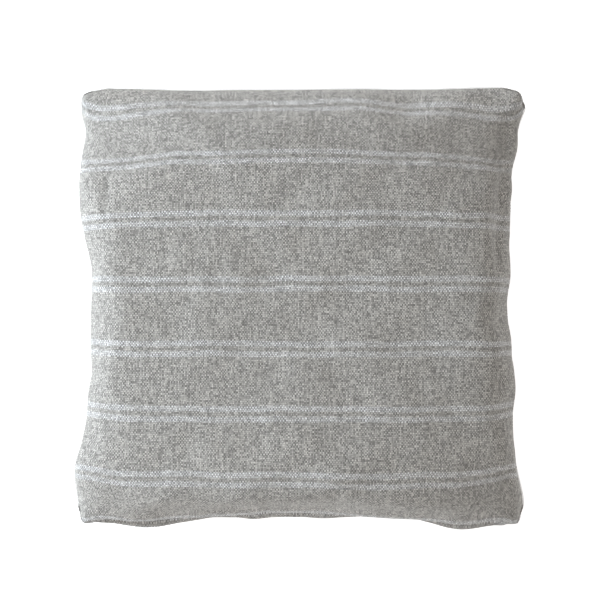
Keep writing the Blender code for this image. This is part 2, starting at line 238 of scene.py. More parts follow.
def weave_group():
    """Plain weave: threads over and under each other, thick and thin, pale and dark; its Gap is a mask for
    painted shade in the hollows between them.
    """
    found = bpy.data.node_groups.get("Plain weave")
    if found:
        return found
    g, given, result = new_group(
        "Plain weave",
        (
            ("Place", VECTOR, None),
            ("Warp", FLOAT, 0.0016),
            ("Weft", FLOAT, 0.0017),
            ("Wander", FLOAT, 0.5),
            ("Slub", FLOAT, 0.5),
            ("Contrast", FLOAT, 0.0),
        ),
        (("Tone", FLOAT), ("Height", FLOAT), ("Warp share", FLOAT), ("Gap", FLOAT)),
    )
    x, y, _ = g.split(given["Place"])
    sway_x = g.math("SUBTRACT", g.noise(g.join(x, y, 3.7), 70.0, 2.0), 0.5)
    sway_y = g.math("SUBTRACT", g.noise(g.join(x, y, 9.1), 70.0, 2.0), 0.5)
    count_x, count_y = g.math("DIVIDE", x, given["Warp"]), g.math("DIVIDE", y, given["Weft"])
    uneven_x = g.noise(g.join(count_x, g.math("MULTIPLY", count_y, 0.3), 2.3), 0.9, 1.0)
    uneven_y = g.noise(g.join(g.math("MULTIPLY", count_x, 0.3), count_y, 4.4), 0.9, 1.0)
    wander_x = g.math("ADD", g.math("MULTIPLY", sway_x, 2.0), g.math("SUBTRACT", uneven_x, 0.5))
    wander_y = g.math("ADD", g.math("MULTIPLY", sway_y, 2.0), g.math("SUBTRACT", uneven_y, 0.5))
    u = g.math("MULTIPLY_ADD", wander_x, given["Wander"], count_x)
    v = g.math("MULTIPLY_ADD", wander_y, given["Wander"], count_y)
    cos_u = g.math("COSINE", g.math("MULTIPLY", u, math.pi))
    cos_v = g.math("COSINE", g.math("MULTIPLY", v, math.pi))
    cross = g.math("MULTIPLY", cos_u, cos_v)
    warp_up = g.math("GREATER_THAN", cross, 0.0)
    weft_up = g.math("SUBTRACT", 1.0, warp_up)
    side_u, side_v = g.math("ABSOLUTE", cos_u), g.math("ABSOLUTE", cos_v)
    across = g.math("ADD", g.math("MULTIPLY", side_u, warp_up), g.math("MULTIPLY", side_v, weft_up))
    along_it = g.math("ADD", g.math("MULTIPLY", side_v, warp_up), g.math("MULTIPLY", side_u, weft_up))
    hill = g.math("MULTIPLY", g.math("POWER", across, 0.75), g.math("POWER", along_it, 0.32))
    thread_u, thread_v = g.math("ROUND", u), g.math("ROUND", v)
    warp_run = g.join(g.math("MULTIPLY", thread_u, 7.31), g.math("MULTIPLY", v, 0.11), 1.3)
    weft_run = g.join(g.math("MULTIPLY", u, 0.11), g.math("MULTIPLY", thread_v, 5.17), 5.9)
    warp_tone = g.noise(warp_run, 1.0, 3.0, 0.6)
    weft_tone = g.noise(weft_run, 1.0, 3.0, 0.6)
    knot = g.white(g.join(thread_u, thread_v, g.math("MULTIPLY", warp_up, 3.0)))
    along = g.math("ADD", g.math("MULTIPLY", warp_tone, warp_up), g.math("MULTIPLY", weft_tone, weft_up))
    fibre_warp = g.noise(g.join(g.math("MULTIPLY", u, 9.0), g.math("MULTIPLY", v, 1.1), 7.7), 1.0, 2.0)
    fibre_weft = g.noise(g.join(g.math("MULTIPLY", u, 1.1), g.math("MULTIPLY", v, 9.0), 8.8), 1.0, 2.0)
    fibre = g.math("ADD", g.math("MULTIPLY", fibre_warp, warp_up), g.math("MULTIPLY", fibre_weft, weft_up))
    mixed = g.math("ADD", g.math("MULTIPLY", along, 0.45), g.math("MULTIPLY", fibre, 0.35))
    lively = g.math("ADD", mixed, g.math("MULTIPLY", knot, 0.2))
    plain = g.math("MULTIPLY_ADD", g.math("SUBTRACT", lively, 0.5), given["Slub"], 0.5)
    tone = g.math("MULTIPLY_ADD", g.math("SUBTRACT", weft_up, 0.5), given["Contrast"], plain)
    g.put(result["Tone"], tone)
    # Gap: 1 where the threads' hills are low, a mask for painted shade in the hollows between the threads
    g.put(result["Gap"], g.remap(hill, 0.12, 0.62, 1.0, 0.0, smooth=True))
    g.put(result["Height"], g.math("MULTIPLY", hill, g.remap(lively, 0.0, 1.0, 0.65, 1.1)))
    g.put(result["Warp share"], warp_up)
    return g.tree


def grain_group():
    """Fine speckle and slow shading, for metal, thread and fibre."""
    found = bpy.data.node_groups.get("Fine grain")
    if found:
        return found
    g, given, result = new_group(
        "Fine grain",
        (("Place", VECTOR, None), ("Scale", FLOAT, 400.0), ("Stretch", FLOAT, 1.0)),
        (("Fine", FLOAT), ("Broad", FLOAT)),
    )
    x, y, z = g.split(given["Place"])
    drawn = g.join(g.math("DIVIDE", x, given["Stretch"]), y, z)
    g.put(result["Fine"], g.noise(drawn, given["Scale"], 4.0, 0.65))
    g.put(result["Broad"], g.noise(given["Place"], g.math("MULTIPLY", given["Scale"], 0.08), 3.0, 0.5))
    return g.tree


def new_material(name, roughness, metallic=0.0, sheen=0.0):
    made = bpy.data.materials.new(name)
    made.use_nodes = True
    g = Graph(made.node_tree)
    shader = made.node_tree.nodes["Principled BSDF"]
    shader.inputs["Roughness"].default_value = roughness
    shader.inputs["Metallic"].default_value = metallic
    if sheen:
        shader.inputs["Sheen Weight"].default_value = sheen
        shader.inputs["Sheen Roughness"].default_value = 0.6
    return made, g, shader


def group_node(g, tree, **values):
    made = g.node("ShaderNodeGroup", node_tree=tree)
    for name, value in values.items():
        g.put(made.inputs[name.replace("_", " ")], value)
    return made.outputs


def bump(g, shader, height, distance, strength=1.0):
    made = g.node("ShaderNodeBump")
    g.put(made.inputs["Height"], height)
    made.inputs["Distance"].default_value = distance
    made.inputs["Strength"].default_value = strength
    g.put(shader.inputs["Normal"], made.outputs[0])


# Half the gap between a pair's two stripes, where a stripe starts to fade, and where it has gone
BAND_MIDDLE, BAND_FULL, BAND_GONE = 0.0053, 0.0022, 0.0036
BAND_DRIFT = 0.006  # how far the rows of weft stray
TONE_LOW, TONE_HIGH = 0.2, 0.8


def linen_material(name, sizes, colours):
    """Loose plain weave with pairs of pale stripes laid across it, and painted shade in the gaps between
    the threads.
    """
    made, g, shader = new_material(name, 0.92, sheen=0.12)
    place = g.node("ShaderNodeUVMap", uv_map="Cloth").outputs[0]
    weave = group_node(
        g, weave_group(), Place=place, Warp=sizes.warp, Weft=sizes.weft, Wander=0.9, Slub=2.4,
        Contrast=0.26,
    )
    tone = g.remap(weave["Tone"], TONE_LOW, TONE_HIGH)
    ground = g.mix(tone, tuple(c * 0.42 for c in colours.linen),
                   tuple(min(c * 1.72, 1.0) for c in colours.linen))
    x, y, _ = g.split(place)
    streak = g.noise(g.join(x, g.math("MULTIPLY", y, 0.045), 6.1), 430.0, 2.0, 0.6)
    ground = g.mix(g.remap(streak, 0.5, 0.72, 0.0, 0.45), ground, tuple(c * 0.5 for c in colours.linen))
    drift = g.math("MULTIPLY", g.math("SUBTRACT", g.noise(place, 14.0, 2.0), 0.5), BAND_DRIFT)
    across = g.math("ADD", g.math("ADD", y, drift), sizes.stripe_pitch * 20.5 - sizes.stripe_start)
    local = g.math("SUBTRACT", g.math("MODULO", across, sizes.stripe_pitch), sizes.stripe_pitch / 2)
    off = g.math("ABSOLUTE", local)
    band = g.math("ABSOLUTE", g.math("SUBTRACT", off, BAND_MIDDLE))
    in_band = g.remap(band, BAND_FULL, BAND_GONE, 1.0, 0.0, smooth=True)
    hairline = g.remap(off, 0.0004, 0.0016, 1.0, 0.0, smooth=True)
    worn = g.noise(g.join(g.math("MULTIPLY", x, 0.4), y, 2.2), 90.0, 3.0, 0.6)
    strong = g.math("MULTIPLY", in_band, g.remap(worn, 0.25, 0.7, 0.5, 1.0))
    pale = g.math("MULTIPLY", strong, g.remap(weave["Warp share"], 0.0, 1.0, 1.0, 0.35))
    stripe = g.mix(tone, tuple(c * 0.62 for c in colours.stripe),
                   tuple(min(c * 1.4, 1.0) for c in colours.stripe))
    ground = g.mix(pale, ground, stripe)
    ground = g.mix(g.math("MULTIPLY", hairline, 0.16), ground, colours.linen_dark_and_gap_shade)
    broad = g.noise(place, 9.0, 3.0, 0.55)
    ground = g.mix(g.remap(broad, 0.3, 0.7, 0.0, 0.10), ground, tuple(c * 0.8 for c in colours.linen))
    # Painted shade: the linen's dark colour laid into the gaps between the threads
    final = g.mix(g.math("MULTIPLY", weave["Gap"], 0.75), ground, colours.linen_dark_and_gap_shade)
    g.put(shader.inputs["Base Color"], final)
    bump(g, shader, weave["Height"], 0.0004, 0.9)
    return made


# ---- the stuffed cover --------------------------------------------------------


def rounded(x, y, half, radius):
    """The flat square of cloth with its corners turned on a radius."""
    a = np.abs(x) - (half - radius)
    b = np.abs(y) - (half - radius)
    corner = (a > 0) & (b > 0)
    length = np.where(corner, np.hypot(a, b), 1.0)
    pull = np.where(corner, np.maximum(a, b) / length, 1.0)
    x_new = np.where(corner, np.sign(x) * (half - radius + a * pull), x)
    y_new = np.where(corner, np.sign(y) * (half - radius + b * pull), y)
    return x_new, y_new


def pattern(sizes):
    """Flat places of the cloth's points, on a square lattice."""
    half = sizes.cut / 2
    line = np.linspace(-half, half, sizes.cells + 1)
    x, y = np.meshgrid(line, line, indexing="ij")
    return rounded(x, y, half, sizes.corner)


def ripple(x, y, seed, lengths, count=24):
    """Smooth random hills from seeded waves, about -1 to 1."""
    rng = np.random.default_rng(seed)
    total = np.zeros_like(x)
    for _ in range(count):
        turn = rng.uniform(0, 2 * math.pi)
        wave = 2 * math.pi / rng.uniform(*lengths)
        phase = rng.uniform(0, 2 * math.pi)
        total += np.cos((x * math.cos(turn) + y * math.sin(turn)) * wave + phase)
    return total / math.sqrt(count)


FIRST_SWELL = 0.03  # how far the flat panels start apart, each way
LAST_FRAME = 24


def blown_up(sizes):
    """Front and back panels after the cloth is sewn shut and stuffed, as two lattices of points."""
    n = sizes.cells + 1
    x, y = pattern(sizes)
    half = sizes.cut / 2
    swell = np.sqrt(np.clip((1 - (x / half) ** 2) * (1 - (y / half) ** 2), 0, 1))
    uneven = 1 + 0.06 * ripple(x, y, 7, (0.05, 0.2))
    front = np.stack([x, y, FIRST_SWELL * swell * uneven], -1)
    back = np.stack([x, y, -FIRST_SWELL * swell * (2 - uneven)], -1)
    inner = np.zeros((n, n), bool)
    inner[1:-1, 1:-1] = True
    front_at = np.arange(n * n).reshape(n, n)
    back_at = front_at.copy()
    back_at[inner] = n * n + np.arange(inner.sum())
    points = np.concatenate([front.reshape(-1, 3), back[inner]])
    faces = quads(front_at) + quads(back_at[:, ::-1])
    mesh = bpy.data.meshes.new("sewn cloth")
    mesh.from_pydata(points.tolist(), [], faces)
    bag = bpy.data.objects.new("sewn cloth", mesh)
    bpy.context.collection.objects.link(bag)
    step = bag.modifiers.new("Cloth", "CLOTH")
    cloth = step.settings
    cloth.quality = 5
    cloth.mass = 0.15
    cloth.tension_stiffness = 40
    cloth.compression_stiffness = 40
    cloth.shear_stiffness = 8
    cloth.bending_stiffness = 0.3
    cloth.air_damping = 5
    cloth.use_pressure = True
    cloth.uniform_pressure_force = 0
    cloth.use_pressure_volume = True
    cloth.target_volume = sizes.volume
    cloth.pressure_factor = 15
    cloth.effector_weights.gravity = 0
    step.collision_settings.use_collision = False
    step.point_cache.frame_start = 1
    step.point_cache.frame_end = LAST_FRAME
    for moment in range(1, LAST_FRAME + 1):
        bpy.context.scene.frame_set(moment)
    solved = bag.evaluated_get(bpy.context.evaluated_depsgraph_get())
    places = np.empty(len(points) * 3)
    solved.data.vertices.foreach_get("co", places)
    places = places.reshape(-1, 3)
    bpy.context.scene.frame_set(1)
    bpy.data.objects.remove(bag, do_unlink=True)
    bpy.data.meshes.remove(mesh)
    return places[front_at], places[back_at]


def quads(at):
    """Faces between neighbouring places of a lattice of vertex numbers."""
    low, high = at[:-1], at[1:]
    stack = np.stack([low[:, :-1], high[:, :-1], high[:, 1:], low[:, 1:]], -1)
    return stack.reshape(-1, 4).tolist()


def ease(share):
    held = np.clip(share, 0, 1)
    return held * held * (3 - 2 * held)


def near(value, middle, width):
    return np.exp(-(((value - middle) / width) ** 2))


# Where each edge stands out or draws in: side, place along it from -1 to 1, width, amount
EDGE_MARKS = (
    ("left", -0.72, 0.16, 8.5 * MM),
    ("left", 0.45, 0.22, 9 * MM),
    ("left", 0.80, 0.08, -4 * MM),
    ("right", -0.35, 0.30, 3.5 * MM),
    ("right", 0.62, 0.12, -3 * MM),
    ("right", 0.94, 0.09, 6 * MM),
    ("right", -0.88, 0.12, 3 * MM),
    ("top", 0.20, 0.50, 1.5 * MM),
    ("zip", 0.78, 0.22, 15 * MM),
    ("zip", -0.76, 0.24, 11.5 * MM),
    ("zip", 0.00, 0.45, 2.5 * MM),
)
EVEN_OUT = 0.85  # share of the seam's waves that is ironed out
CORNERS = {(-1, 1): 25 * MM, (1, 1): 17 * MM, (-1, -1): 22 * MM, (1, -1): 20 * MM}
CORNER_STEP = 3 * MM  # the front's corners stand back a little, and show the seam behind
PLUMP = 0.82  # under 1 fills the edges and corners out
BACK_SINK = 9 * MM  # how far the underside is pressed through what it lies on, before it is flattened
# Rows of weft that the stuffing carries along, top and bottom: middle, half width, distance
LEAN = (214 * MM, 58 * MM, 15.5 * MM)
LIFT = (-236 * MM, 30 * MM, 14 * MM)
SEAM_HOLD = 26 * MM  # the rows start to move this far from the seam across them
SIDE_HOLD = 30 * MM
PULL_IN = {"left": 17 * MM, "right": 17 * MM, "top": 4 * MM, "zip": 10 * MM}


def edge_reach(side, t):
    """How far the pillow reaches to one side, at a place along that side from -1 to 1."""
    half = HALF[0] if side in ("left", "right") else HALF[1]
    reach = half - PULL_IN[side] * (1 - t * t)
    for name, place, width, amount in EDGE_MARKS:
        if name == side:
            reach = reach + amount * near(t, place, width)
    return reach


def fitted(front, back, sizes):
    """The blown-up panels eased to the frame's outline and thickness, lying on their back."""
    half = sizes.cut / 2
    flat_x, flat_y = pattern(sizes)
    u, v = flat_x / half, flat_y / half
    line = np.linspace(-1, 1, sizes.cells + 1)
    for side, axis, sign, row in (
        ("left", 0, -1, np.s_[0, :]),
        ("right", 0, 1, np.s_[-1, :]),
        ("zip", 1, -1, np.s_[:, 0]),
        ("top", 1, 1, np.s_[:, -1]),
    ):
        seam = sign * front[row][:, axis]
        smooth_seam = np.polyval(np.polyfit(line, seam, 6), line)
        change = edge_reach(side, line) - smooth_seam - EVEN_OUT * (seam - smooth_seam)
        other = v if axis == 0 else u
        share = np.clip(sign * (u if axis == 0 else v), 0, 1) ** 2.5
        for panel in (front, back):
            panel[..., axis] += sign * share * np.interp(other, line, change)
    far_side = v * half
    inside = ease((1 - np.abs(u)) * half / SIDE_HOLD)
    middle, width, distance = LEAN
    lean = near(far_side, middle, width) * ease((half - far_side) / SEAM_HOLD)
    front[..., 1] -= distance * lean * inside
    middle, width, distance = LIFT
    lift = near(far_side, middle, width) * ease((half + far_side) / SEAM_HOLD)
    front[..., 1] += distance * lift * inside
    full = np.clip(front[..., 2] / front[..., 2].max(), 0, 1) ** PLUMP
    front[..., 2] = SEAM_Z + (CROWN - SEAM_Z) * full
    full = np.clip(back[..., 2] / back[..., 2].min(), 0, 1) ** PLUMP
    back[..., 2] = SEAM_Z - (SEAM_Z + BACK_SINK) * full
    settle(back)
    return u, v


IRON_PASSES, IRON_SHARE, IRON_REACH = 14, 0.6, 26 * MM


def iron(front, back, sizes):
    """Smooth the sharpest waves beside the seam, as close stuffing does."""
    away = seam_distance(sizes)
    share = (IRON_SHARE * np.exp(-away / IRON_REACH))[..., None]
    for _ in range(IRON_PASSES):
        for panel in (front, back):
            around = panel.copy()
            around[1:-1] += panel[2:] + panel[:-2]
            around[1:-1] /= 3
            across = around.copy()
            across[:, 1:-1] += around[:, 2:] + around[:, :-2]
            across[:, 1:-1] /= 3
            for row in (np.s_[0], np.s_[-1], np.s_[:, 0], np.s_[:, -1]):
                line = panel[row]
                level = line.copy()
                level[1:-1] = (line[2:] + line[1:-1] + line[:-2]) / 3
                across[row] = level
            for corner in ((0, 0), (0, -1), (-1, 0), (-1, -1)):
                across[corner] = panel[corner]
            panel += share * (across - panel)


LEVEL_CELLS, LEVEL_WIDTH, LEVEL_SHARE = 12, 34 * MM, 0.85


def draw_level(panel, sizes):
    """Pull the rows of weft level, so that the stripes bow without kinks."""
    step = sizes.cut / sizes.cells
    reach = np.arange(-LEVEL_CELLS, LEVEL_CELLS + 1)
    weight = near(reach * step, 0, LEVEL_WIDTH)
    weight /= weight.sum()
    rows = panel[..., 1]
    slope = rows[1] - rows[0], rows[-1] - rows[-2]
    more = np.arange(1, LEVEL_CELLS + 1)[:, None]
    wide = np.concatenate([rows[0] - more[::-1] * slope[0], rows, rows[-1] + more * slope[1]])
    level = sum(w * wide[k : k + len(rows)] for k, w in enumerate(weight))
    x = np.linspace(-1, 1, len(rows))[:, None]
    share = LEVEL_SHARE * ease((1 - np.abs(x)) / 0.16)
    panel[..., 1] += share * (level - rows)


def blunt(panel, more=0.0):
    """Press the corners' tips in, as stuffing that doesn't reach them leaves them."""
    radius = np.zeros(panel.shape[:2])
    for (side_x, side_y), size in CORNERS.items():
        radius[(panel[..., 0] * side_x >= 0) & (panel[..., 1] * side_y >= 0)] = size + more
    over_x = np.abs(panel[..., 0]) - (HALF[0] - radius)
    over_y = np.abs(panel[..., 1]) - (HALF[1] - radius)
    tip = (over_x > 0) & (over_y > 0)
    reach = np.hypot(over_x, over_y)
    held = (1 + (reach / radius) ** 5) ** -0.2
    for axis, over in ((0, over_x), (1, over_y)):
        inner = HALF[axis] - radius
        moved = np.sign(panel[..., axis]) * (inner + over * held)
        panel[..., axis] = np.where(tip, moved, panel[..., axis])


def ease_to_outline(front, back, u, v):
    """Let each side out until its widest part stands where the pillow's edge should."""
    for side, axis, sign in (("left", 0, -1), ("right", 0, 1), ("zip", 1, -1), ("top", 1, 1)):
        rows = (0, 1) if axis == 0 else (1, 0)
        both = np.concatenate([np.transpose(p, (*rows, 2)) for p in (front, back)])
        widest = (sign * both[..., axis]).max(axis=0)
        row = -1 if sign > 0 else 0
        seam = front[row] if axis == 0 else front[:, row]
        place = seam[:, 1 - axis] / HALF[1 - axis]
        trend = np.polyval(np.polyfit(place, widest, 10), place)
        change = edge_reach(side, np.clip(place, -1, 1)) - trend
        share = np.clip(sign * (u if axis == 0 else v), 0, 1) ** 3
        along = change[None, :] if axis == 0 else change[:, None]
        for panel in (front, back):
            panel[..., axis] += sign * share * along


CLEAR = 0.2 * MM  # kept between the underside and what it lies on


def settle(panel):
    """Press the underside flat where it would sink into what it lies on."""
    soft = 10 * MM
    z = panel[..., 2]
    rounded_up = (z + np.sqrt(z * z + soft * soft * 0.35)) / 2
    panel[..., 2] = rounded_up - rounded_up.min() + CLEAR


def seam_distance(sizes):
    """Distance over the flat cloth to the nearest seam."""
    half = sizes.cut / 2
    x, y = pattern(sizes)
    return half - np.maximum(np.abs(x), np.abs(y))


def normals(points):
    run = np.gradient(points, axis=0)
    rise = np.gradient(points, axis=1)
    out = np.cross(run, rise)
    return out / np.maximum(np.linalg.norm(out, axis=-1, keepdims=True), 1e-12)


TUCK_WIDTH = 10 * MM
TUCK_DEPTHS = (7.5 * MM, 6.5 * MM)  # at the sides, and at the zip and the top


def tuck_seam(front, back, u, v, sizes):
    """Draw the seam in behind the bulge."""
    away = seam_distance(sizes)
    outness = np.maximum(np.abs(u), np.abs(v))
    for panel in (front, back):
        pull = near(away, 0, TUCK_WIDTH)
        for axis, along, depth in ((0, v, TUCK_DEPTHS[0]), (1, u, TUCK_DEPTHS[1])):
            own = u if axis == 0 else v
            beside = ease((np.abs(own) / np.maximum(outness, 1e-9) - 0.97) / 0.03)
            corner = 1 - np.clip(np.abs(along), 0, 1) ** 6
            panel[..., axis] -= np.sign(own) * depth * pull * beside * corner


GATHERS = 26  # to a side
GATHER_DEPTH, BROAD_DEPTH, FINE_DEPTH = 1.1 * MM, 0.8 * MM, 0.16 * MM


def pucker(panel, out, sizes, seed):
    """Small gathers that run in from the seam, and broad unevenness in the stuffing."""
    x, y = pattern(sizes)
    away = seam_distance(sizes)
    half = sizes.cut / 2
    beside_x = np.abs(x) > np.abs(y)
    along = np.where(beside_x, y, x)
    rng = np.random.default_rng(seed)
    gathers = np.zeros_like(x)
    for k in range(4):
        line = np.linspace(-half, half, 400)
        values = np.zeros_like(line)
        for _ in range(GATHERS):
            place = rng.uniform(-half, half)
            values += rng.uniform(0.4, 1.0) * near(line, place, rng.uniform(3.5, 8) * MM)
        side = (beside_x & (x < 0), beside_x & (x > 0), ~beside_x & (y < 0), ~beside_x & (y > 0))[k]
        gathers += np.where(side, np.interp(along, line, values), 0)
    fade = np.exp(-away / (16 * MM)) * ease(away / (9 * MM))
    corner = 1 - np.clip(np.abs(along) / half, 0, 1) ** 8
    broad = ripple(x, y, seed + 1, (0.045, 0.14))
    fine = ripple(x, y, seed + 2, (0.014, 0.035), 30)
    inward = ease(away / (40 * MM))
    move = -GATHER_DEPTH * gathers * fade * corner + inward * (BROAD_DEPTH * broad + FINE_DEPTH * fine)
    panel += out * move[..., None]


# Creases in the front: ends (x, y), half width, depth
CREASES = (
    ((217, 200), (212, 120), 4.5, 4.6),
    ((212, 120), (206, 40), 4.5, 4.0),
    ((205, 190), (202, 60), 3.5, 2.2),
    ((-201, 128), (-202, 88), 3, 1.8),
    ((-33, -200), (-36, -222), 4, 2.2),
    ((-95, -216), (-66, -209), 5, 3.0),
    ((218, -178), (223, -198), 7, 3.4),
    ((-236, 205), (-205, 196), 5, 1.2),
    ((236, 212), (214, 192), 4, 1.5),
)


def crease(panel, out):
    """Press each crease into the cloth."""
    for (x0, y0), (x1, y1), width, depth in CREASES:
        start = np.array([x0, y0]) * MM
        run = np.array([x1, y1]) * MM - start
        flat = panel[..., :2] - start
        share = np.clip(flat @ run / (run @ run), 0, 1)
        gap = np.linalg.norm(flat - share[..., None] * run, axis=-1)
        above = ease((panel[..., 2] - SEAM_Z) / (12 * MM))
        panel -= out * (depth * MM * near(gap, 0, width * MM) * above)[..., None]


SEAM_PART = 0.25 * MM  # each panel's share of the gap along the seam


def straighten_zip(front, back, v, sizes):
    """Bring the zip's side of the seam onto a straight line in front of the tapes."""
    away = (v + 1) * sizes.cut / 2
    fold_y = TAPE_Y - sizes.fold
    span = TAPE_END + 2 * MM
    for panel, up in ((front, 1), (back, -1)):
        edge = panel[:, 0].copy()
        level = 1 - ease((np.abs(edge[:, 0]) - span) / (HALF[0] - span))
        shift_y = (fold_y - edge[:, 1]) * level
        shift_z = (SEAM_Z - edge[:, 2]) * level
        lip = (sizes.slit / 2) * level + SEAM_PART * (1 - level)
        fade = near(away, 0, 9 * MM)
        panel[..., 1] += shift_y[:, None] * fade
        panel[..., 2] += shift_z[:, None] * fade
        panel[..., 2] += up * lip[:, None] * near(away, 0, 5 * MM)
    return level


def part_seam(front, back, v, sizes):
    """Leave a hair's breadth between the two panels on the three sewn sides."""
    away = seam_distance(sizes)
    fade = near(away, 0, 4 * MM) * ease((v + 1) / 0.02)
    front[..., 2] += SEAM_PART * fade
    back[..., 2] -= SEAM_PART * fade


def ring(n):
    """Lattice places round the edge: along the zip, up, back along the top and down."""
    last = n - 1
    return (
        [(i, 0) for i in range(last)]
        + [(last, j) for j in range(last)]
        + [(last - i, last) for i in range(last)]
        + [(0, last - j) for j in range(last)]
    )


TURN_STEPS = (0.12, 0.4, 1.0)  # shares of the allowance where it bends
ZIP_TURN = 0.7 * MM  # what is left of the allowance in front of the zip


def shell(name, panel, up, sizes, thick, allowance, zip_level=None):
    """One panel of cloth with its allowance turned in, given its thickness."""
    n = panel.shape[0]
    if n == sizes.cells + 1:
        flat_x, flat_y = pattern(sizes)
    else:
        line = np.linspace(-sizes.cut / 2, sizes.cut / 2, n)
        flat_x, flat_y = np.meshgrid(line, line, indexing="ij")
    at = np.arange(n * n).reshape(n, n)
    points = list(panel.reshape(-1, 3))
    uvs = list(np.stack([flat_x, flat_y], -1).reshape(-1, 2))
    faces = quads(at if up > 0 else at[:, ::-1])
    edge = ring(n)
    before = [at[i, j] for i, j in edge]
    for step in TURN_STEPS:
        following = []
        for i, j in edge:
            width = allowance
            if zip_level is not None and j == 0:
                width = allowance + (ZIP_TURN - allowance) * zip_level[i]
            place = panel[i, j]
            square = np.array([
                -np.sign(place[0]) * (abs(flat_x[i, j]) > abs(flat_y[i, j]) - 1e-4),
                -np.sign(place[1]) * (abs(flat_y[i, j]) > abs(flat_x[i, j]) - 1e-4),
                0.0,
            ])
            heading = square / max(np.linalg.norm(square), 1e-9)
            following.append(len(points))
            points.append(place + heading * width * step)
            uvs.append(np.array([flat_x[i, j], flat_y[i, j]]) - heading[:2] * width * step)
        for k in range(len(edge)):
            after = (k + 1) % len(edge)
            quad = (before[k], before[after], following[after], following[k])
            faces.append(quad[::-1] if up > 0 else quad)
        before = following
    mesh = bpy.data.meshes.new(name)
    mesh.from_pydata([tuple(p) for p in points], [], faces)
    layer = mesh.uv_layers.new(name="Cloth")
    corner = np.empty(len(mesh.loops), int)
    mesh.loops.foreach_get("vertex_index", corner)
    layer.data.foreach_set("uv", np.array(uvs)[corner].astype(np.float32).ravel())
    piece = bpy.data.objects.new(name, mesh)
    bpy.context.collection.objects.link(piece)
    apply_step(piece, "SOLIDIFY", thickness=thick, offset=-1, use_even_offset=False)
    apply_step(piece, "SUBSURF", levels=1, render_levels=1)
    piece.data.shade_smooth()
    return piece


def apply_step(piece, kind, **settings):
    """Add a modifier and apply it at once."""
    bpy.ops.object.select_all(action="DESELECT")
    bpy.context.view_layer.objects.active = piece
    piece.select_set(True)
    step = piece.modifiers.new(kind.title(), kind)
    for key, value in settings.items():
        setattr(step, key, value)
    bpy.ops.object.modifier_apply(modifier=step.name)


def dress(piece, look, body="pillow", nodes=()):
    """Give a finished piece its material and its body."""
    piece.data.materials.clear()
    piece.data.materials.append(look)
    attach(piece, body)
    if nodes:
        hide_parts(*nodes)
    return piece


SHAPES = {}


def cover_shapes(sizes):
    """The cover's two panels as lattices of points, worked out once."""
    if not SHAPES:
        front, back = blown_up(sizes)
        u, v = fitted(front, back, sizes)
        iron(front, back, sizes)
        draw_level(front, sizes)
        tuck_seam(front, back, u, v, sizes)
        for _ in range(2):
            ease_to_outline(front, back, u, v)
        blunt(front, CORNER_STEP)
        blunt(back)
        pucker(front, normals(front), sizes, 11)
        crease(front, normals(front))
        pucker(back, -normals(back), sizes, 23)
        back[..., 2] = np.maximum(back[..., 2], CLEAR)
        level = straighten_zip(front, back, v, sizes)
        part_seam(front, back, v, sizes)
        SHAPES.update(front=front, back=back, level=level, u=u, v=v)
    return SHAPES


class PILLOW_OT_cover(bpy.types.Operator):
    """Cut, sew and stuff the linen cover"""

    bl_idname = "pillow.cover"
    bl_label = "Cover"

    def execute(self, context):
        sizes, colours = context.scene.pillow_sizes, context.scene.pillow_colours
        shapes = cover_shapes(sizes)
        for name, key, up, slot_name, node in (
            ("Cover_Front", "front", 1, "linen_front", "front_panel"),
            ("Cover_Back", "back", -1, "linen_back", "back_panel"),
        ):
            piece = shell(name, shapes[key], up, sizes, sizes.linen, sizes.allowance, shapes["level"])
            look = linen_material(name.lower() + "_linen", sizes, colours)
            dress(piece, look, nodes=(node,))
        return {"FINISHED"}


# ---- thread, insert and label ---------------------------------------------------


def thread_material(name, colour):
    """Twisted thread: two plies that wind round each other, with painted shade in the grooves between them
    and a little fuzz.
    """
    made, g, shader = new_material(name, 0.8, sheen=0.1)
    place = g.node("ShaderNodeUVMap", uv_map="Thread").outputs[0]
    along, around, _ = g.split(place)
    twist = g.math("ADD", g.math("MULTIPLY", along, 900.0), around)
    ply = g.math("ABSOLUTE", g.math("SINE", g.math("MULTIPLY", twist, math.pi)))
    place = g.node("ShaderNodeTexCoord").outputs["Object"]
    grain = group_node(g, grain_group(), Place=place, Scale=900.0)
    # Darker where the plies meet: painted shade in the grooves; the fine grain is random fibre tone
    tone = g.math("ADD", g.math("MULTIPLY", ply, 0.6), g.math("MULTIPLY", grain["Fine"], 0.5))
    g.put(shader.inputs["Base Color"], g.mix(tone, tuple(c * 0.55 for c in colour), colour))
    bump(g, shader, ply, 0.00015, 0.8)
    return made


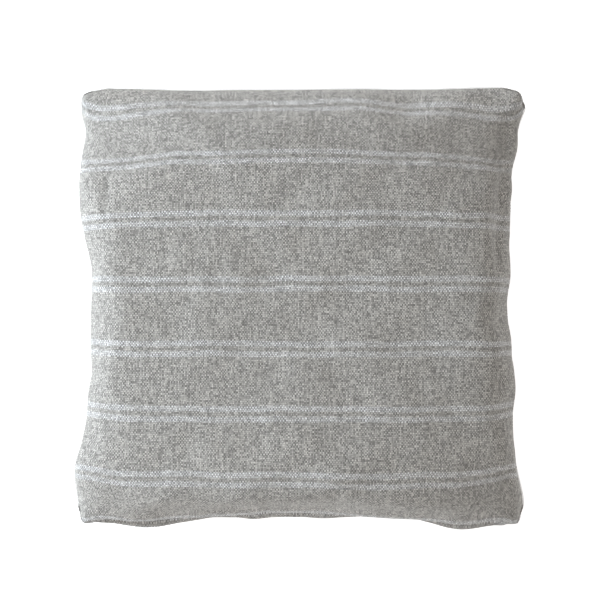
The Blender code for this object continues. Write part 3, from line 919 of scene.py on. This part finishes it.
def tubes(name, paths, radii, sides=6):
    """One mesh of round tubes: each path is points, and its radii are given point by point."""
    points, faces, uvs = [], [], []
    for path, radius in zip(paths, radii):
        path = np.asarray(path, float)
        heading = np.gradient(path, axis=0)
        heading /= np.linalg.norm(heading, axis=1, keepdims=True)
        side = np.cross(heading, (0.0, 0.0, 1.0))
        weak = np.linalg.norm(side, axis=1) < 1e-6
        side[weak] = (1.0, 0.0, 0.0)
        side /= np.linalg.norm(side, axis=1, keepdims=True)
        lift = np.cross(side, heading)
        turn = np.linspace(0, 2 * math.pi, sides, endpoint=False)
        spokes = side[:, None] * np.cos(turn)[:, None] + lift[:, None] * np.sin(turn)[:, None]
        rings = path[:, None] + spokes * np.asarray(radius, float)[:, None, None]
        first = len(points)
        points += list(rings.reshape(-1, 3))
        run = np.concatenate([[0.0], np.cumsum(np.linalg.norm(np.diff(path, axis=0), axis=1))])
        for k in range(len(path) - 1):
            for n in range(sides):
                after = (n + 1) % sides
                a, b = first + k * sides, first + (k + 1) * sides
                faces.append((a + n, a + after, b + after, b + n))
                uvs += [(run[k], n / sides), (run[k], (n + 1) / sides)]
                uvs += [(run[k + 1], (n + 1) / sides), (run[k + 1], n / sides)]
        for ring_start, backwards in ((first, True), (first + (len(path) - 1) * sides, False)):
            cap = [ring_start + n for n in range(sides)]
            faces.append(cap[::-1] if backwards else cap)
            uvs += [(run[0 if backwards else -1], 0.5)] * sides
    mesh = bpy.data.meshes.new(name)
    mesh.from_pydata([tuple(p) for p in points], [], faces)
    layer = mesh.uv_layers.new(name="Thread")
    layer.data.foreach_set("uv", np.array(uvs, np.float32).ravel())
    mesh.shade_smooth()
    piece = bpy.data.objects.new(name, mesh)
    bpy.context.collection.objects.link(piece)
    face_out(piece)
    return piece


def face_out(piece):
    shape = bmesh.new()
    shape.from_mesh(piece.data)
    bmesh.ops.recalc_face_normals(shape, faces=shape.faces)
    shape.to_mesh(piece.data)
    shape.free()


def stitch_row(name, path, out, sizes, radius):
    """A row of short stitches along a path, each bowed a little off the cloth."""
    path, out = np.asarray(path), np.asarray(out)
    run = np.concatenate([[0.0], np.cumsum(np.linalg.norm(np.diff(path, axis=0), axis=1))])
    count = int(run[-1] / sizes.stitch)
    shares = np.array([0.04, 0.2, 0.5, 0.8, 0.96])
    bow = np.array([-0.8, 0.1, 0.35, 0.1, -0.8]) * radius
    paths, radii = [], []
    for k in range(count):
        where = (k + shares) * sizes.stitch
        spot = np.stack([np.interp(where, run, path[:, a]) for a in range(3)], -1)
        lean = np.stack([np.interp(where, run, out[:, a]) for a in range(3)], -1)
        paths.append(spot + lean * bow[:, None])
        radii.append(radius * np.array([0.45, 1.0, 1.0, 1.0, 0.45]))
    return tubes(name, paths, radii)


def seam_line(shapes):
    """Points and outward directions of the three sewn sides, from the zip's right end round."""
    middle = (shapes["front"] + shapes["back"]) / 2
    edge = ring(middle.shape[0])
    last = middle.shape[0] - 1
    spots = np.array([middle[i, j] for i, j in edge[last:] + edge[:1]])
    run = np.gradient(spots, axis=0)
    out = np.cross(run, (0, 0, 1.0))
    out /= np.linalg.norm(out, axis=1, keepdims=True)
    return spots, out


class PILLOW_OT_stitching(bpy.types.Operator):
    """Sew the cover's seam and the two rows of stitches beside the zip"""

    bl_idname = "pillow.stitching"
    bl_label = "Stitching"

    def execute(self, context):
        sizes, colours = context.scene.pillow_sizes, context.scene.pillow_colours
        shapes = cover_shapes(sizes)
        spots, out = seam_line(shapes)
        seam = stitch_row("Seam_Stitches", spots + out * 0.2 * MM, out, sizes, sizes.thread)
        colour = tuple(colours.linen)
        dress(seam, thread_material("seam thread", colour), nodes=("cover_seam_thread",))
        for key, side, node in (("front", 1, "zipper_stitch_front"), ("back", -1, "zipper_stitch_back")):
            panel = shapes[key]
            lean = normals(panel) * side
            share = 0.35  # between the first row of cells and the second
            path = panel[:, 1] * (1 - share) + panel[:, 2] * share
            away = lean[:, 1] * (1 - share) + lean[:, 2] * share
            keep = np.abs(path[:, 0]) < TAPE_END
            path, away = path[keep], away[keep]
            name = "Zip_Stitches_" + key.title()
            row = stitch_row(name, path + away * 0.15 * MM, away, sizes, sizes.thread)
            dress(row, thread_material(name.lower(), colour), nodes=(node,))
        return {"FINISHED"}


def nested(panel, up, u, v, inset, zip_room, skin):
    """A surface inside the cover's: drawn in toward its seam, and one skin under it elsewhere."""
    step = 3
    inner = panel[::step, ::step].copy()
    u, v = u[::step, ::step], v[::step, ::step]
    out = normals(panel)[::step, ::step] * up
    outness = np.maximum(np.abs(u), np.abs(v))
    drawn = np.clip((outness - 0.72) / 0.28, 0, 1) ** 1.5
    room = zip_room * np.maximum(-v, 0) ** 2
    inner -= out * (skin * (1 - drawn))[..., None]
    corner = 1 + 1.3 * (np.abs(u) * np.abs(v)) ** 4
    inner[..., 0] *= 1 - (inset * corner + room / 2) * drawn / HALF[0]
    inner[..., 1] *= 1 - (inset * corner + room) * drawn / HALF[1]
    return inner


def cotton_material(name, colours):
    """Close plain cotton, much finer than the cover's linen, with painted shade between its threads."""
    made, g, shader = new_material(name, 0.9, sheen=0.05)
    place = g.node("ShaderNodeUVMap", uv_map="Cloth").outputs[0]
    weave = group_node(g, weave_group(), Place=place, Warp=0.0007, Weft=0.0007, Wander=0.3, Slub=0.5)
    dark = tuple(c * 0.82 for c in colours.cotton)
    tone = g.mix(weave["Tone"], dark, colours.cotton)
    # Painted shade: darker in the gaps between the threads; the tone above is the threads' own uneven
    # colour
    g.put(shader.inputs["Base Color"], g.mix(g.math("MULTIPLY", weave["Gap"], 0.4), tone, dark))
    bump(g, shader, weave["Height"], 0.0001, 0.5)
    return made


def fibre_material(name):
    """Hollow polyester fibre, in soft clumps."""
    made, g, shader = new_material(name, 1.0, sheen=0.3)
    place = g.node("ShaderNodeTexCoord").outputs["Object"]
    grain = group_node(g, grain_group(), Place=place, Scale=350.0, Stretch=3.0)
    clump = g.noise(place, 30.0, 5.0, 0.7, 1.5)
    tone = g.math("ADD", g.math("MULTIPLY", grain["Fine"], 0.4), g.math("MULTIPLY", clump, 0.6))
    g.put(shader.inputs["Base Color"], g.mix(tone, (0.72, 0.72, 0.7), (0.93, 0.93, 0.91)))
    bump(g, shader, tone, 0.002, 0.8)
    return made


def closed_form(name, front, back):
    """One closed solid between two surfaces that share their edge."""
    n = front.shape[0]
    at = np.arange(n * n).reshape(n, n)
    inner = np.zeros((n, n), bool)
    inner[1:-1, 1:-1] = True
    back_at = at.copy()
    back_at[inner] = n * n + np.arange(inner.sum())
    points = np.concatenate([front.reshape(-1, 3), back[inner]])
    points[at[~inner]] = ((front + back) / 2)[~inner]
    mesh = bpy.data.meshes.new(name)
    mesh.from_pydata([tuple(p) for p in points], [], quads(at) + quads(back_at[:, ::-1]))
    piece = bpy.data.objects.new(name, mesh)
    bpy.context.collection.objects.link(piece)
    apply_step(piece, "SUBSURF", levels=1, render_levels=1)
    piece.data.shade_smooth()
    return piece


# Of each layer inside the cover: how far its edge stands back, how much more at the zip, how deep it lies
CASE_ROOM = (14 * MM, 14 * MM, 3.2 * MM)
FILL_ROOM = (34 * MM, 16 * MM, 6.5 * MM)
CASE_THICK, CASE_ALLOWANCE = 0.6 * MM, 4 * MM


class PILLOW_OT_insert(bpy.types.Operator):
    """Make the stuffed insert: its two cotton panels, its seam and its fibre"""

    bl_idname = "pillow.insert"
    bl_label = "Insert"

    def execute(self, context):
        sizes, colours = context.scene.pillow_sizes, context.scene.pillow_colours
        shapes = cover_shapes(sizes)
        u, v = shapes["u"], shapes["v"]
        cases = {}
        for key, up in (("front", 1), ("back", -1)):
            case = nested(shapes[key], up, u, v, *CASE_ROOM)
            case[..., 2] = SEAM_Z + up * np.maximum(up * (case[..., 2] - SEAM_Z), 0.3 * MM)
            cases[key] = case
            name = "Insert_Cotton_" + key.title()
            piece = shell(name, case, up, sizes, CASE_THICK, CASE_ALLOWANCE)
            dress(piece, cotton_material(name.lower(), colours),
                  nodes=("insert_case_" + key,))
        fills = [nested(shapes[key], up, u, v, *FILL_ROOM) for key, up in (("front", 1), ("back", -1))]
        filling = closed_form("Insert_Fill", *fills)
        dress(filling, fibre_material("insert_fibre"), nodes=("insert_fill",))
        spots, out = seam_line(cases)
        spots, out = spots[1:-1], out[1:-1]
        row = stitch_row("Insert_Seam", spots + out * 0.2 * MM, out, sizes, sizes.thread * 0.8)
        look = thread_material("insert thread", tuple(colours.cotton))
        dress(row, look, nodes=("insert_seam_thread",))
        return {"FINISHED"}


def ribbon(name, low, high, cells, wave, thick):
    """A strip of woven ribbon that fills a box, standing across X or Y, a little uneven."""
    low, high = np.array(low), np.array(high)
    long_axis = 0 if high[0] - low[0] > high[1] - low[1] else 1
    thin_axis = 1 - long_axis
    along = np.linspace(low[long_axis], high[long_axis], cells + 1)
    across = np.linspace(low[2], high[2], 7)
    a, b = np.meshgrid(along, across, indexing="ij")
    middle = (low[thin_axis] + high[thin_axis]) / 2
    points = np.zeros((*a.shape, 3))
    points[..., long_axis] = a
    points[..., thin_axis] = middle + wave * np.sin(a * 210.0) * np.cos(b * 300.0)
    points[..., 2] = b
    at = np.arange(a.size).reshape(a.shape)
    mesh = bpy.data.meshes.new(name)
    mesh.from_pydata([tuple(p) for p in points.reshape(-1, 3)], [], quads(at))
    layer = mesh.uv_layers.new(name="Cloth")
    corner = np.empty(len(mesh.loops), int)
    mesh.loops.foreach_get("vertex_index", corner)
    flat = np.stack([a.ravel(), b.ravel()], -1)
    layer.data.foreach_set("uv", flat[corner].astype(np.float32).ravel())
    piece = bpy.data.objects.new(name, mesh)
    bpy.context.collection.objects.link(piece)
    apply_step(piece, "SOLIDIFY", thickness=thick, offset=0)
    apply_step(piece, "BEVEL", width=thick * 0.3, segments=2, limit_method="ANGLE")
    face_out(piece)
    piece.data.shade_smooth()
    return piece


def ribbon_material(name, colour, pitch, shine):
    """Fine ribbed ribbon: ribs across its length, with a soft shine and painted shade between its threads.
    """
    made, g, shader = new_material(name, shine, sheen=0.1)
    place = g.node("ShaderNodeUVMap", uv_map="Cloth").outputs[0]
    weave = group_node(g, weave_group(), Place=place, Warp=pitch, Weft=pitch * 0.8, Wander=0.2, Slub=0.6)
    dark = tuple(c * 0.6 for c in colour)
    tone = g.mix(weave["Tone"], tuple(c * 0.85 for c in colour), tuple(colour))
    # Painted shade: darker in the gaps between the threads
    g.put(shader.inputs["Base Color"], g.mix(g.math("MULTIPLY", weave["Gap"], 0.5), tone, dark))
    bump(g, shader, weave["Height"], pitch * 0.2, 0.7)
    return made


class PILLOW_OT_label(bpy.types.Operator):
    """Hang the blank care label from the allowance inside the left edge"""

    bl_idname = "pillow.label"
    bl_label = "Care label"

    def execute(self, context):
        low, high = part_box("care_label")
        piece = ribbon("Care_Label", low, high, 24, 0.05 * MM, 0.4 * MM)
        look = ribbon_material("satin ribbon", (0.84, 0.84, 0.82), 0.3 * MM, 0.4)
        dress(piece, look, nodes=("care_label",))
        return {"FINISHED"}


# ---- the zip --------------------------------------------------------------------


def nylon_material(name, colour):
    """Moulded nylon, slightly waxy, uneven from coil to coil."""
    made, g, shader = new_material(name, 0.42)
    place = g.node("ShaderNodeTexCoord").outputs["Object"]
    grain = group_node(g, grain_group(), Place=place, Scale=1200.0)
    light = g.mix(grain["Broad"], tuple(c * 0.8 for c in colour), tuple(min(c * 1.12, 1.0) for c in colour))
    g.put(shader.inputs["Base Color"], light)
    g.put(shader.inputs["Roughness"], g.remap(grain["Fine"], 0.3, 0.7, 0.34, 0.5))
    bump(g, shader, grain["Fine"], 0.00004, 0.5)
    return made


def metal_material(name, colours):
    """Plated zinc: fine drawn lines, and paler along its sharp edges."""
    made, g, shader = new_material(name, 0.3, metallic=1.0)
    place = g.node("ShaderNodeTexCoord").outputs["Object"]
    grain = group_node(g, grain_group(), Place=place, Scale=2600.0, Stretch=14.0)
    # Paler where the surface is sharply convex, picked out by pointiness
    edge = g.remap(g.node("ShaderNodeNewGeometry").outputs["Pointiness"], 0.5, 0.56, 0.0, 1.0)
    base = g.mix(grain["Broad"], tuple(c * 0.82 for c in colours.metal), tuple(colours.metal))
    g.put(shader.inputs["Base Color"], g.mix(g.math("MULTIPLY", edge, 0.4), base, (0.82, 0.8, 0.77)))
    g.put(shader.inputs["Roughness"], g.remap(grain["Fine"], 0.25, 0.75, 0.22, 0.42))
    bump(g, shader, grain["Fine"], 0.00003, 0.5)
    return made


def block(name, low, high):
    """A box between two corners, its place in its mesh."""
    low, high = Vector(low), Vector(high)
    bpy.ops.object.select_all(action="DESELECT")
    bpy.ops.mesh.primitive_cube_add(size=1, location=(low + high) / 2)
    piece = bpy.context.object
    piece.name = name
    piece.scale = high - low
    bpy.ops.object.transform_apply(location=True, rotation=True, scale=True)
    return piece


def edit(piece, kind="FACE"):
    bpy.ops.object.select_all(action="DESELECT")
    bpy.context.view_layer.objects.active = piece
    piece.select_set(True)
    bpy.ops.object.mode_set(mode="EDIT")
    bpy.ops.mesh.select_mode(type=kind)
    bpy.ops.mesh.select_all(action="DESELECT")


def leave():
    bpy.ops.object.mode_set(mode="OBJECT")


def pick_faces(piece, test):
    shape = bmesh.from_edit_mesh(piece.data)
    shape.normal_update()
    for face in shape.faces:
        face.select_set(test(face.normal, face.calc_center_median()))
    bmesh.update_edit_mesh(piece.data)


def pick_edges(piece, axis, test):
    """Select the edges that run along an axis and pass a test of their middle."""
    shape = bmesh.from_edit_mesh(piece.data)
    for line in shape.edges:
        run = (line.verts[1].co - line.verts[0].co).normalized()
        middle = (line.verts[0].co + line.verts[1].co) / 2
        line.select_set(abs(run[axis]) > 0.99 and test(middle))
    bmesh.update_edit_mesh(piece.data)


def round_upright(piece, axis, radius, segments, test=lambda middle: True):
    """Round the edges that run along an axis."""
    edit(piece, "EDGE")
    pick_edges(piece, axis, test)
    bpy.ops.mesh.bevel(offset=radius, segments=segments, affect="EDGES", clamp_overlap=True)
    leave()


def cut_window(piece, axis, rim, test=lambda middle: True):
    """Inset the two faces across an axis and join them by a hole."""
    edit(piece)
    pick_faces(piece, lambda normal, middle: abs(normal[axis]) > 0.9 and test(middle))
    bpy.ops.mesh.inset(thickness=rim, depth=0)
    bpy.ops.mesh.bridge_edge_loops()
    leave()


def soften(piece, width, segments=2):
    apply_step(piece, "BEVEL", width=width, segments=segments, limit_method="ANGLE",
               angle_limit=math.radians(40), use_clamp_overlap=True)
    face_out(piece)
    bpy.ops.object.select_all(action="DESELECT")
    bpy.context.view_layer.objects.active = piece
    piece.select_set(True)
    bpy.ops.object.shade_smooth_by_angle(angle=math.radians(35))


def joined(name, pieces):
    """Overlapping blocks made one closed body."""
    first, *others = pieces
    for other in others:
        apply_step(first, "BOOLEAN", operation="UNION", solver="EXACT", object=other)
        bpy.data.objects.remove(other, do_unlink=True)
    first.name = name
    return first


COIL_PITCH, COIL_WIRE = 1.9 * MM, 0.28 * MM
TAPE_THICK = 0.42 * MM


def coil_path(low, high, pitch, up):
    """A flat spiral of nylon wire that fills a box along X, its loops leaning toward the other row."""
    wire = COIL_WIRE
    turns = int((high.x - low.x - 2 * wire) / pitch)
    steps = 12
    turn = np.linspace(0, 2 * math.pi * turns, turns * steps + 1)
    tall = (high.z - low.z) / 2 - wire
    deep = (high.y - low.y) / 2 - wire
    x = low.x + wire + turn / (2 * math.pi) * pitch + pitch * 0.22 * np.sin(2 * turn)
    shift = pitch / 2 if up < 0 else 0
    x = np.minimum(x + shift, high.x - wire)
    y = (low.y + high.y) / 2 + deep * np.sin(turn)
    z = (low.z + high.z) / 2 - up * tall * np.cos(turn)
    return np.stack([x, y, z], -1), wire


class PILLOW_OT_zip(bpy.types.Operator):
    """Lay the tapes, wind the two nylon coils and clamp the stops"""

    bl_idname = "pillow.zip"
    bl_label = "Zip"

    def execute(self, context):
        colours = context.scene.pillow_colours
        metal = metal_material("stop metal", colours)
        for key, up in (("front", 1), ("back", -1)):
            node = "zipper_tape_" + key
            low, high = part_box(node)
            tape = ribbon("Zip_Tape_" + key.title(), low, high, 160, 0.03 * MM, TAPE_THICK)
            woven = ribbon_material(node + " ribbon", colours.tape, 0.5 * MM, 0.85)
            dress(tape, woven, nodes=(node,))
            node = "zipper_coil_" + key
            path, wire = coil_path(*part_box(node), COIL_PITCH, up)
            coil = tubes("Zip_Coil_" + key.title(), [path], [np.full(len(path), wire)], sides=6)
            dress(coil, nylon_material(node + " nylon", (0.50, 0.49, 0.46)), nodes=(node,))
            node = "zipper_top_stop_" + key
            dress(self.stop("Top_Stop_" + key.title(), node), metal, nodes=(node,))
        node = "zipper_bottom_stop"
        dress(self.stop("Bottom_Stop", node), metal, nodes=(node,))
        return {"FINISHED"}

    def stop(self, name, node):
        """A clamped staple: a block with its face crowned and its edges rolled."""
        low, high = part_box(node)
        piece = block(name, low, high)
        edit(piece)
        pick_faces(piece, lambda normal, middle: normal.y < -0.9)
        bpy.ops.mesh.inset(thickness=(high.x - low.x) * 0.22, depth=-0.15 * MM)
        leave()
        soften(piece, 0.25 * MM, 3)
        return piece


class PILLOW_OT_slider(bpy.types.Operator):
    """Make the slider and the tab that swings on its bridge"""

    bl_idname = "pillow.slider"
    bl_label = "Slider and pull"

    def execute(self, context):
        colours = context.scene.pillow_colours
        dress(self.slider(), metal_material("slider metal", colours), "slider",
              nodes=("zipper_slider",))
        dress(self.pull(), metal_material("pull metal", colours), "pull", nodes=("pull_tab",))
        return {"FINISHED"}

    def slider(self):
        low, high = SLIDER_LOW, SLIDER_HIGH
        plate = 0.8 * MM
        outer_face = -(TAPE_Y - 3.15 * MM)
        inner_face = high.y
        x, z = (low.x + high.x) / 2, SEAM_Z
        outer = block("Slider_outer", (low.x, -outer_face, low.z), (high.x, -outer_face + plate, high.z))
        round_upright(outer, 1, 1.5 * MM, 5)
        inner = block("Slider_inner", (low.x, inner_face - plate, low.z), (high.x, inner_face, high.z))
        round_upright(inner, 1, 1.5 * MM, 5)
        neck = block("Slider_neck", (x - 2 * MM, -outer_face + plate / 2, z - 0.4 * MM),
                     (x + 2 * MM, inner_face - plate / 2, z + 0.4 * MM))
        round_upright(neck, 1, 0.35 * MM, 3)
        parts = [outer, inner, neck]
        for up in (1, -1):
            edge = high.z if up > 0 else low.z
            first, last = sorted((edge, edge - up * 0.7 * MM))
            parts.append(block("Slider_lip", (low.x + 1.5 * MM, -outer_face + plate / 2, first),
                               (high.x - 1.5 * MM, TAPE_Y - 0.55 * MM, last)))
        arch = block("Slider_arch", (x - 3.5 * MM, low.y, z - 0.7 * MM),
                     (x + 3.5 * MM, -outer_face + plate * 0.6, z + 0.7 * MM))
        round_upright(arch, 2, 1.2 * MM, 4, lambda middle: middle.y < (low.y - outer_face) / 2)
        cut_window(arch, 2, 1.0 * MM)
        parts.append(arch)
        slider = joined("Zip_Slider", parts)
        soften(slider, 0.16 * MM)
        return slider

    def pull(self):
        low, high = PULL_LOW, PULL_HIGH
        tab = block("Zip_Pull", low, high)
        axis_x = (SLIDER_LOW.x + SLIDER_HIGH.x) / 2
        window_end = axis_x + 6.2 * MM
        edit(tab)
        bpy.ops.mesh.select_all(action="SELECT")
        bpy.ops.mesh.bisect(plane_co=(window_end, 0, 0), plane_no=(1, 0, 0))
        leave()
        round_upright(tab, 1, 2.95 * MM, 8, lambda middle: middle.x > high.x - 1 * MM)
        round_upright(tab, 1, 0.8 * MM, 4, lambda middle: middle.x < low.x + 1 * MM)
        cut_window(tab, 1, 1.2 * MM, lambda middle: middle.x < window_end)
        edit(tab)
        pick_faces(tab, lambda normal, middle: abs(normal.y) > 0.9 and middle.x > window_end)
        bpy.ops.mesh.inset(thickness=1.1 * MM, depth=-0.18 * MM)
        leave()
        soften(tab, 0.12 * MM)
        return tab


# ---- the stage ----------------------------------------------------------------


def add_light(name, place, size, power, colour, aim):
    data = bpy.data.lights.new(name, "AREA")
    data.shape = "RECTANGLE"
    data.size, data.size_y = size
    data.energy = power
    data.color = colour
    lamp = bpy.data.objects.new(name, data)
    lamp.location = place
    heading = Vector(aim) - Vector(place)
    lamp.rotation_euler = heading.to_track_quat("-Z", "Y").to_euler()
    bpy.context.collection.objects.link(lamp)


FLOOR_SIDE = 12
CAMERA_PLACE = (0.0, 0.0085, 2.725)  # straight above the pillow
CAMERA_LENS = 150


class PILLOW_OT_stage(bpy.types.Operator):
    """Lay the pale floor and set the lights and the camera"""

    bl_idname = "pillow.stage"
    bl_label = "Stage"

    def execute(self, context):
        bpy.ops.object.select_all(action="DESELECT")
        bpy.ops.mesh.primitive_plane_add(size=FLOOR_SIDE, location=(0, 0, 0))
        floor = context.object
        floor.name = "Floor"
        look, _, shader = new_material("pale floor", 0.95)
        shader.inputs["Base Color"].default_value = (0.9, 0.9, 0.9, 1)
        shader.inputs["Emission Color"].default_value = (1, 1, 1, 1)
        shader.inputs["Emission Strength"].default_value = 0.72
        floor.data.materials.append(look)
        add_light("Key", (-1.9, 0.3, 1.15), (1.2, 1.8), 51, (0.84, 0.925, 1.0), (0, 0, 0.05))
        add_light("Fill", (1.4, -0.9, 2.2), (2.2, 2.2), 3, (1.0, 0.96, 0.9), (0, 0, 0.05))
        add_light("Top", (-1.3, 0, 3.2), (2.2, 2.2), 27, (1, 0.985, 0.96), (0, 0, 0))
        world = bpy.data.worlds.new("Studio")
        world.use_nodes = True
        g = Graph(world.node_tree)
        room = world.node_tree.nodes["Background"]
        room.inputs["Color"].default_value = (1, 0.945, 0.885, 1)
        room.inputs["Strength"].default_value = 0.37
        backdrop = g.node("ShaderNodeBackground")
        backdrop.inputs["Color"].default_value = (1, 1, 1, 1)
        both = g.node("ShaderNodeMixShader")
        g.put(both.inputs[0], g.node("ShaderNodeLightPath").outputs["Is Camera Ray"])
        g.put(both.inputs[1], room.outputs[0])
        g.put(both.inputs[2], backdrop.outputs[0])
        g.put(world.node_tree.nodes["World Output"].inputs["Surface"], both.outputs[0])
        context.scene.world = world
        data = bpy.data.cameras.new("Camera")
        data.lens = CAMERA_LENS
        data.sensor_width = 36
        camera = bpy.data.objects.new("Camera", data)
        camera.location = CAMERA_PLACE
        camera.rotation_euler = (0, 0, 0)
        bpy.context.collection.objects.link(camera)
        context.scene.camera = camera
        context.scene.view_settings.view_transform = "Standard"
        return {"FINISHED"}


class PILLOW_PT_tools(bpy.types.Panel):
    """Buttons for each piece of the pillow"""

    bl_idname = "PILLOW_PT_tools"
    bl_label = "Throw pillow"
    bl_space_type = "VIEW_3D"
    bl_region_type = "UI"
    bl_category = "Pillow"

    def draw(self, context):
        for tool in OPERATORS:
            self.layout.operator(tool.bl_idname)


OPERATORS = (
    PILLOW_OT_cover,
    PILLOW_OT_stitching,
    PILLOW_OT_insert,
    PILLOW_OT_label,
    PILLOW_OT_zip,
    PILLOW_OT_slider,
    PILLOW_OT_stage,
)
CLASSES = (PillowSizes, PillowColours, *OPERATORS, PILLOW_PT_tools)


def register():
    for made in CLASSES:
        bpy.utils.register_class(made)
    bpy.types.Scene.pillow_sizes = bpy.props.PointerProperty(type=PillowSizes)
    bpy.types.Scene.pillow_colours = bpy.props.PointerProperty(type=PillowColours)


def unregister():
    del bpy.types.Scene.pillow_colours
    del bpy.types.Scene.pillow_sizes
    for made in reversed(CLASSES):
        bpy.utils.unregister_class(made)


def main():
    register()
    bpy.ops.pillow.cover()
    bpy.ops.pillow.stitching()
    bpy.ops.pillow.insert()
    bpy.ops.pillow.label()
    bpy.ops.pillow.zip()
    bpy.ops.pillow.slider()
    bpy.ops.pillow.stage()


if __name__ == "__main__":
    main()
